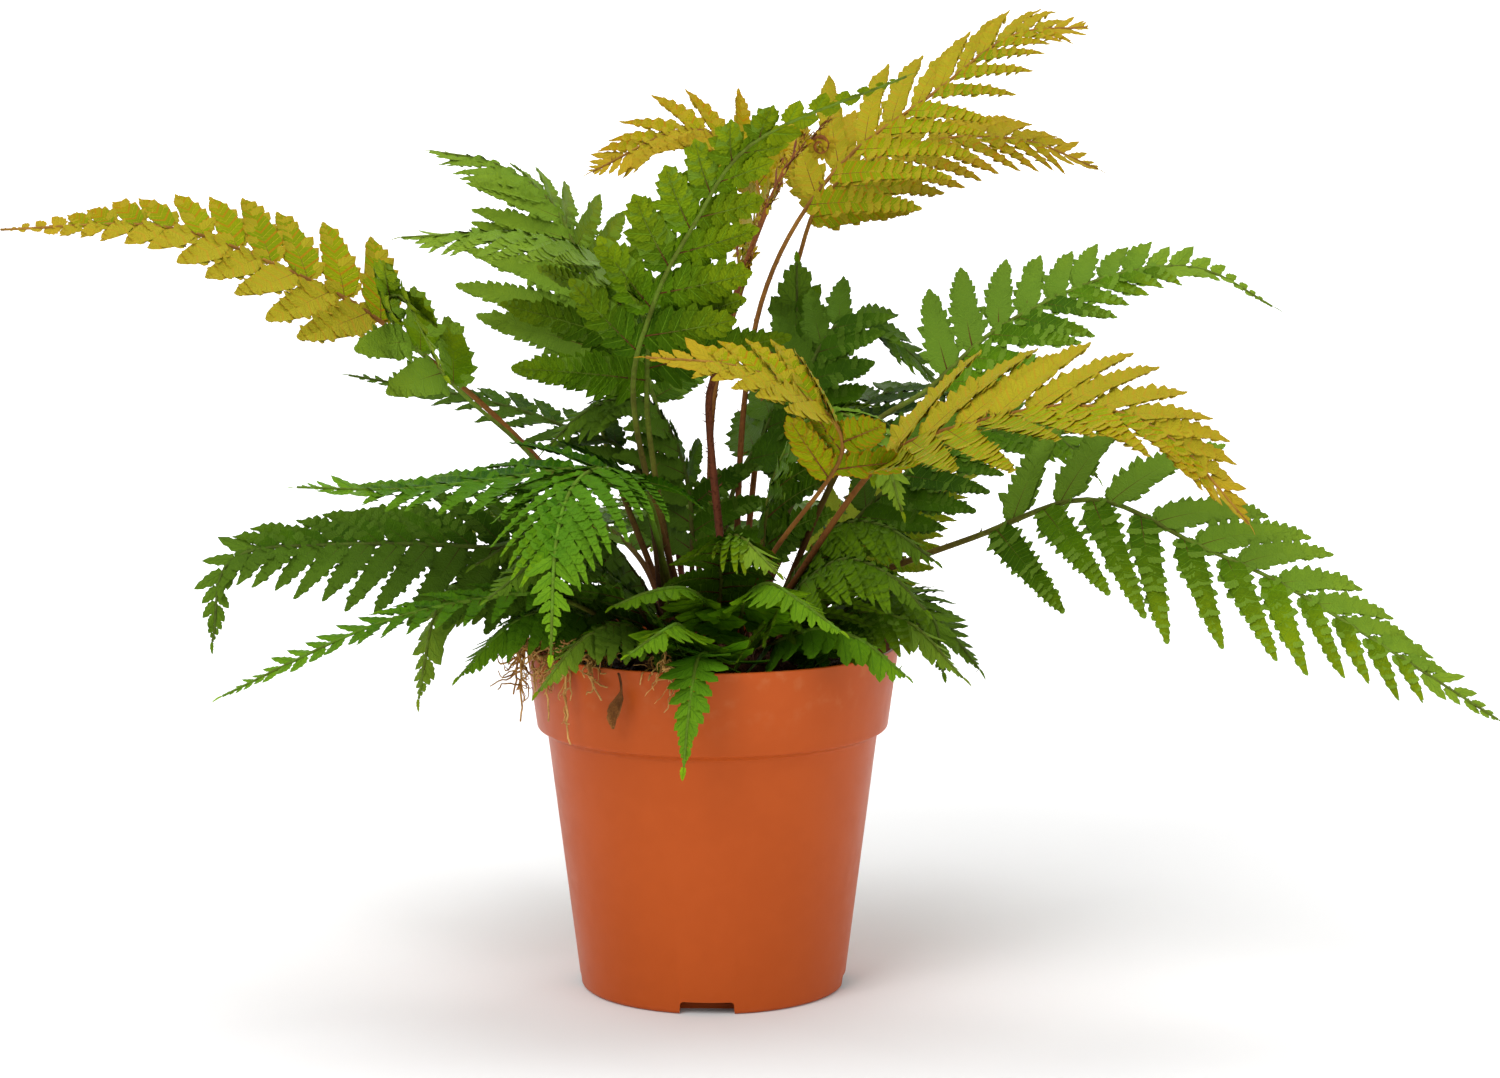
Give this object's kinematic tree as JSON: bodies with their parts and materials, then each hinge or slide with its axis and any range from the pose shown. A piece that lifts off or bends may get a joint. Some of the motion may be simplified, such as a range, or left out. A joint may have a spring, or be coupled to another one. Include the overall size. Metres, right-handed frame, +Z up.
{
  "type": "potted fern",
  "caption": "Leafy autumn fern with arching, finely divided green and coppery fronds, standing in a round tapered terracotta-coloured plastic nursery pot with a deep rim band.",
  "frame": {"origin": "on the pot's axis, on the underside of its base", "axes": "+Z up along the pot's axis; +X to the right along the plant's longest extent; the front faces -Y"},
  "size_m": [0.4921, 0.3055, 0.3382],
  "materials": {
    "terracotta_plastic": "satin",
    "potting_mix": "matte",
    "scaly_rootstock": "matte",
    "mature_leaf": "satin",
    "shaded_leaf": "satin",
    "fresh_leaf": "satin",
    "lime_leaf": "satin",
    "copper_leaf": "satin",
    "hairy_stalk": "matte",
    "dry_root": "matte",
    "dry_leaf": "matte"
  },
  "bodies": {
    "root": {"crozier_small": "hairy_stalk", "crozier_tall": "hairy_stalk", "dry_leaf": "dry_leaf", "frond_back_right": "shaded_leaf", "frond_bright_left": "fresh_leaf", "frond_centre_arch": "mature_leaf", "frond_copper_back": "copper_leaf", "frond_copper_inner": "copper_leaf", "frond_copper_left": "copper_leaf", "frond_copper_top": "copper_leaf", "frond_dark_centre": "shaded_leaf", "frond_dark_right": "shaded_leaf", "frond_drooping_left": "shaded_leaf", "frond_front_drop": "fresh_leaf", "frond_front_left": "fresh_leaf", "frond_front_low": "fresh_leaf", "frond_front_right": "fresh_leaf", "frond_inner_dark_left": "shaded_leaf", "frond_inner_dark_right": "shaded_leaf", "frond_inner_front": "mature_leaf", "frond_inner_left": "shaded_leaf", "frond_inner_right": "mature_leaf", "frond_lime_back": "lime_leaf", "frond_long_right": "mature_leaf", "frond_low_left": "fresh_leaf", "frond_low_left_back": "mature_leaf", "frond_low_left_front": "shaded_leaf", "frond_low_right": "shaded_leaf", "frond_low_right_front": "shaded_leaf", "frond_middle_left": "mature_leaf", "frond_over_rim": "fresh_leaf", "frond_rear_high_left": "mature_leaf", "frond_rear_high_right": "shaded_leaf", "frond_rear_left": "mature_leaf", "frond_rear_middle": "mature_leaf", "frond_rear_right": "mature_leaf", "frond_rim_front_left": "mature_leaf", "frond_rim_front_right": "fresh_leaf", "frond_rim_left": "fresh_leaf", "frond_rim_right": "mature_leaf", "frond_rim_right_side": "shaded_leaf", "frond_thin_left": "shaded_leaf", "frond_upper_left": "mature_leaf", "frond_upright_right": "mature_leaf", "frond_yellow_inner": "copper_leaf", "frond_yellow_right": "copper_leaf", "frond_young_left": "lime_leaf", "nursery_pot": "terracotta_plastic", "old_stalk_1": "hairy_stalk", "old_stalk_2": "hairy_stalk", "old_stalk_3": "hairy_stalk", "potting_mix": "potting_mix", "root_strand_1": "dry_root", "root_strand_2": "dry_root", "root_strand_3": "dry_root", "root_strand_4": "dry_root", "root_strand_5": "dry_root", "root_strand_6": "dry_root", "root_strand_7": "dry_root", "rootstock": "scaly_rootstock"}
  },
  "joints": []
}
